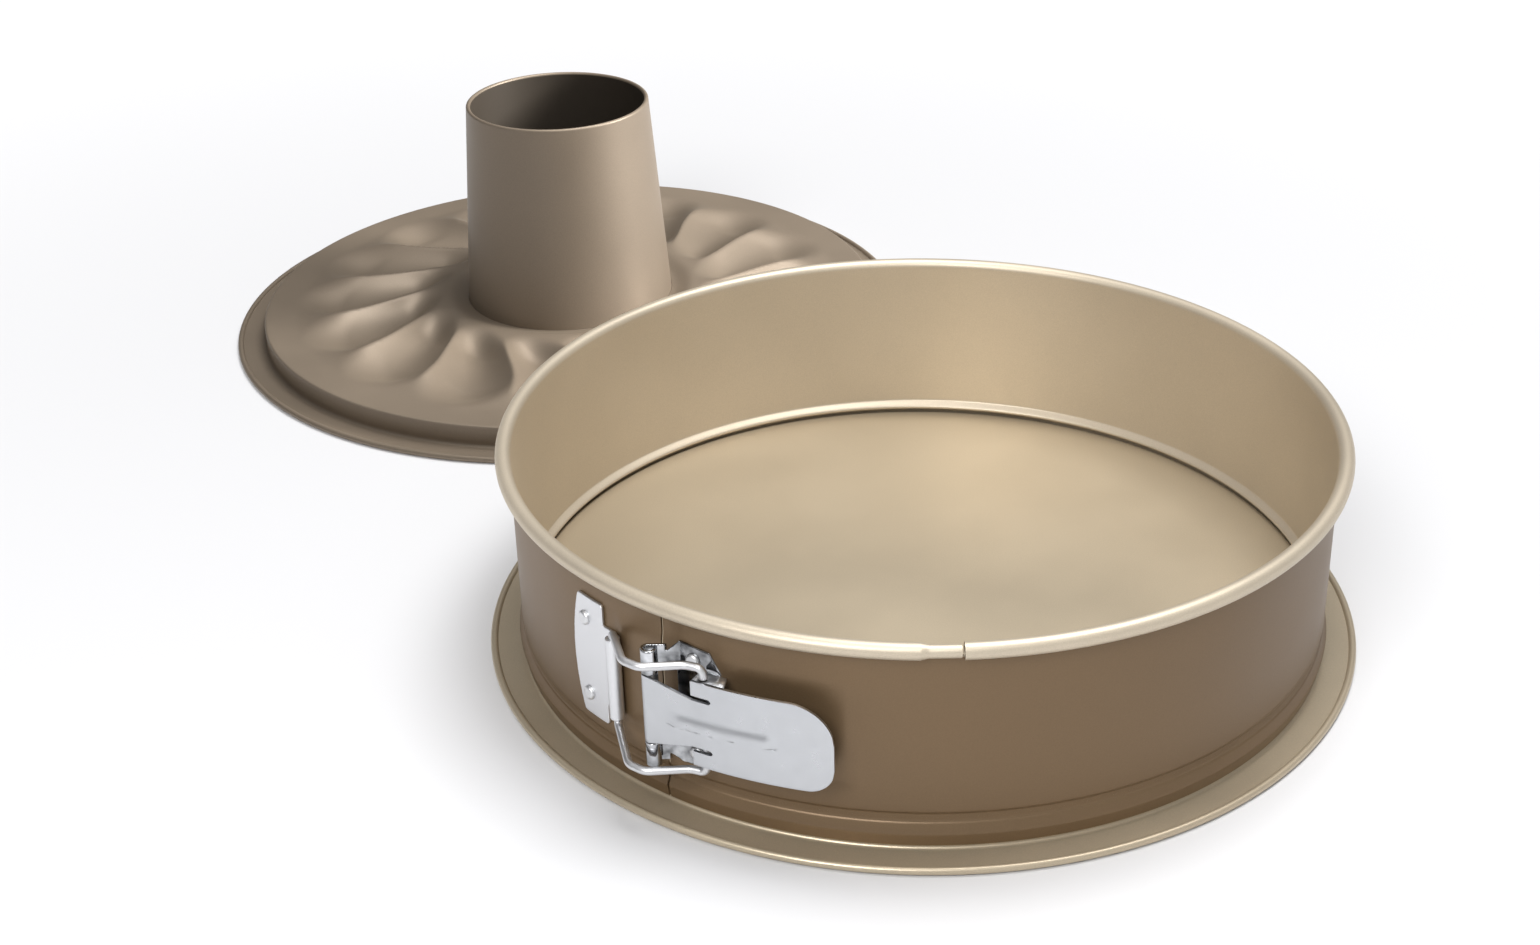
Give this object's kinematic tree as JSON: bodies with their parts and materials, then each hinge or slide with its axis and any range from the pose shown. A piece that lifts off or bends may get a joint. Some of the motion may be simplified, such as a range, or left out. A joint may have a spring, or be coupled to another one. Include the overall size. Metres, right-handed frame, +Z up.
{
  "type": "springform pan",
  "caption": "Round springform cake pan with a latched spring band on a rimmed lift-out base, and a second fluted tube base lying beside it.",
  "frame": {"origin": "on the pan's axis, at the underside of the base where it stands on the table", "axes": "+Z up along the pan's axis, -Y through the seam and the latch; the tube base lies towards -X"},
  "size_m": [0.5417, 0.4079, 0.0955],
  "materials": {
    "band_coat": "satin champagne non-stick coating",
    "base_coat": "satin champagne non-stick coating",
    "tube_coat": "satin taupe non-stick coating",
    "plated_steel": "bright nickel plate",
    "wire_steel": "bright drawn wire",
    "rivet_steel": "bright plated rivet"
  },
  "bodies": {
    "flat_base": {"flat_base": "base_coat"},
    "tube_base": {"tube_base_plate": "tube_coat", "tube_chimney": "tube_coat"},
    "ring_back": {"ring_band_back": "band_coat"},
    "ring_left": {"ring_band_left": "band_coat", "strike_bracket": "plated_steel", "strike_rivet_upper": "rivet_steel", "strike_rivet_lower": "rivet_steel"},
    "ring_right": {"ring_band_right": "band_coat", "hinge_bracket": "plated_steel", "hinge_pin": "plated_steel", "hinge_rivet_upper": "rivet_steel", "hinge_rivet_lower": "rivet_steel"},
    "lever": {"latch_lever": "plated_steel"},
    "bail": {"wire_bail": "wire_steel"}
  },
  "joints": [
    {"name": "ring_lift", "type": "slide", "parent": "flat_base", "child": "ring_back", "axis": [0, 0, 1], "range_m": [0, 0.09]},
    {"name": "tube_base_lift", "type": "slide", "parent": "flat_base", "child": "tube_base", "axis": [0, 0, 1], "range_m": [0, 0.12]},
    {"name": "lever_swing", "type": "hinge", "parent": "ring_right", "child": "lever", "pos_m": [0.00053, -0.1376, 0.038], "axis": [0, 0, -1], "range_deg": [0, 150]},
    {"name": "spread_right", "type": "hinge", "parent": "ring_back", "child": "ring_right", "pos_m": [0.06735, 0.11665, 0.038], "axis": [0, 0, 1], "range_deg": [0, 2.91]},
    {"name": "spread_left", "type": "hinge", "parent": "ring_back", "child": "ring_left", "pos_m": [-0.06735, 0.11665, 0.038], "axis": [0, 0, -1], "range_deg": [0, 2.91]},
    {"name": "bail_swing", "type": "hinge", "parent": "ring_left", "child": "bail", "pos_m": [-0.01734, -0.13247, 0.038], "axis": [0, 0, -1], "range_deg": [0, 22.68]}
  ],
  "couplings": [
    {"joint": "spread_right", "follows": "lever_swing", "ratio": 0.019343},
    {"joint": "spread_left", "follows": "lever_swing", "ratio": 0.019343},
    {"joint": "bail_swing", "follows": "lever_swing", "ratio": 0.15102}
  ]
}
